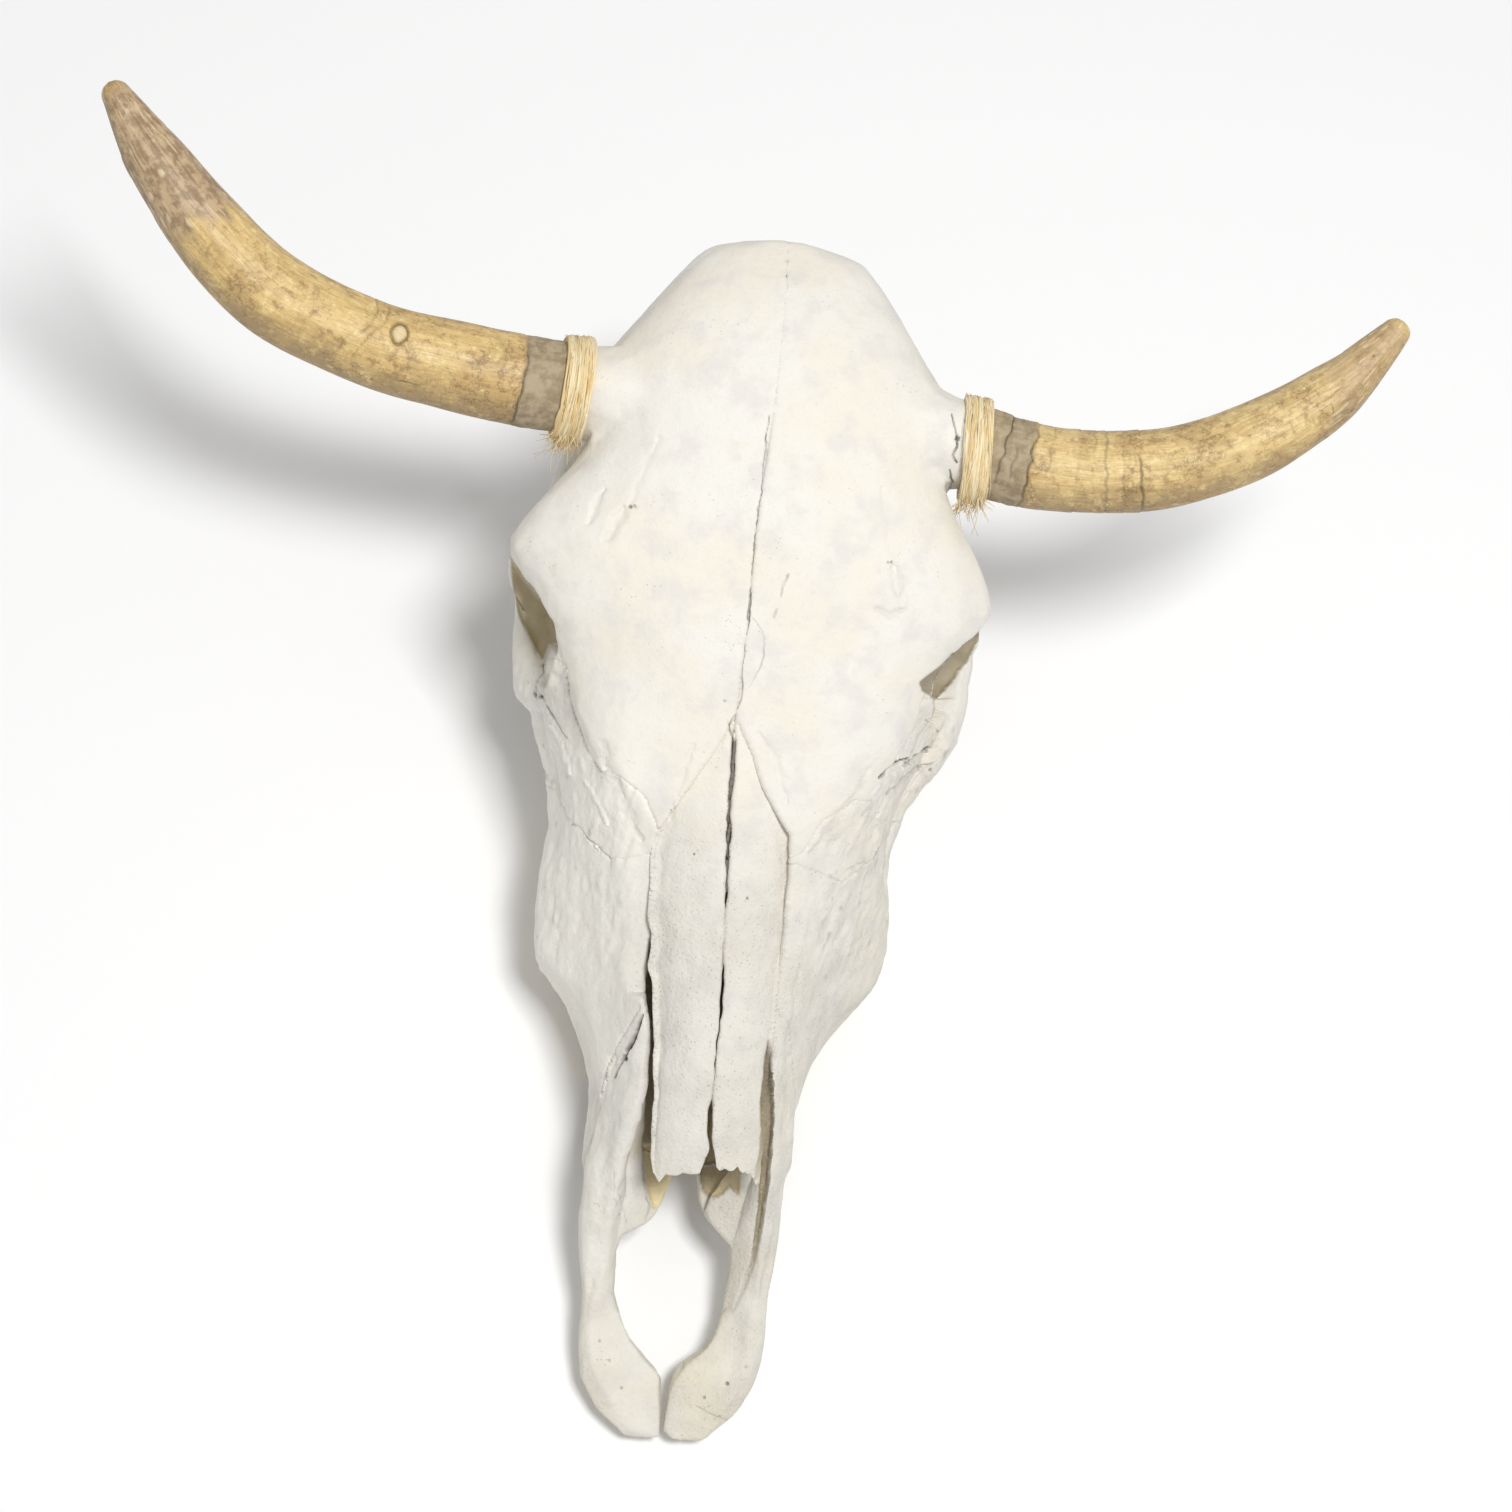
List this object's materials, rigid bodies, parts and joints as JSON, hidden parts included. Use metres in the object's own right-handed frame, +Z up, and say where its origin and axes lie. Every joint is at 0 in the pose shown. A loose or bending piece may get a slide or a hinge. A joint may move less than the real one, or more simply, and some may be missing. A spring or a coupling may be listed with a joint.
{
  "type": "cow skull",
  "caption": "Whitened cow skull with no lower jaw, divided into its bones, with cheek teeth, curved brown horns and a fibre binding round the base of each horn.",
  "frame": {"origin": "on the floor the skull lies on, under the middle of its bounding box", "axes": "+Z up from the floor; -Y towards the nose; +X towards the animal's left, along the span of the horns"},
  "size_m": [0.5317, 0.4647, 0.2743],
  "materials": {
    "bone": null,
    "horn": null,
    "fibre": "dry straw-coloured plant fibre, wound and fraying"
  },
  "bodies": {
    "root": {"frontal_left": "bone", "frontal_right": "bone", "lacrimal_left": "bone", "lacrimal_right": "bone", "zygomatic_left": "bone", "zygomatic_right": "bone", "braincase": "bone", "maxilla_left": "bone", "maxilla_right": "bone", "premaxilla_left": "bone", "premaxilla_right": "bone", "nasal_left": "bone", "nasal_right": "bone", "horn_left": "horn", "horn_right": "horn", "binding_left": "fibre", "binding_right": "fibre"}
  },
  "joints": []
}
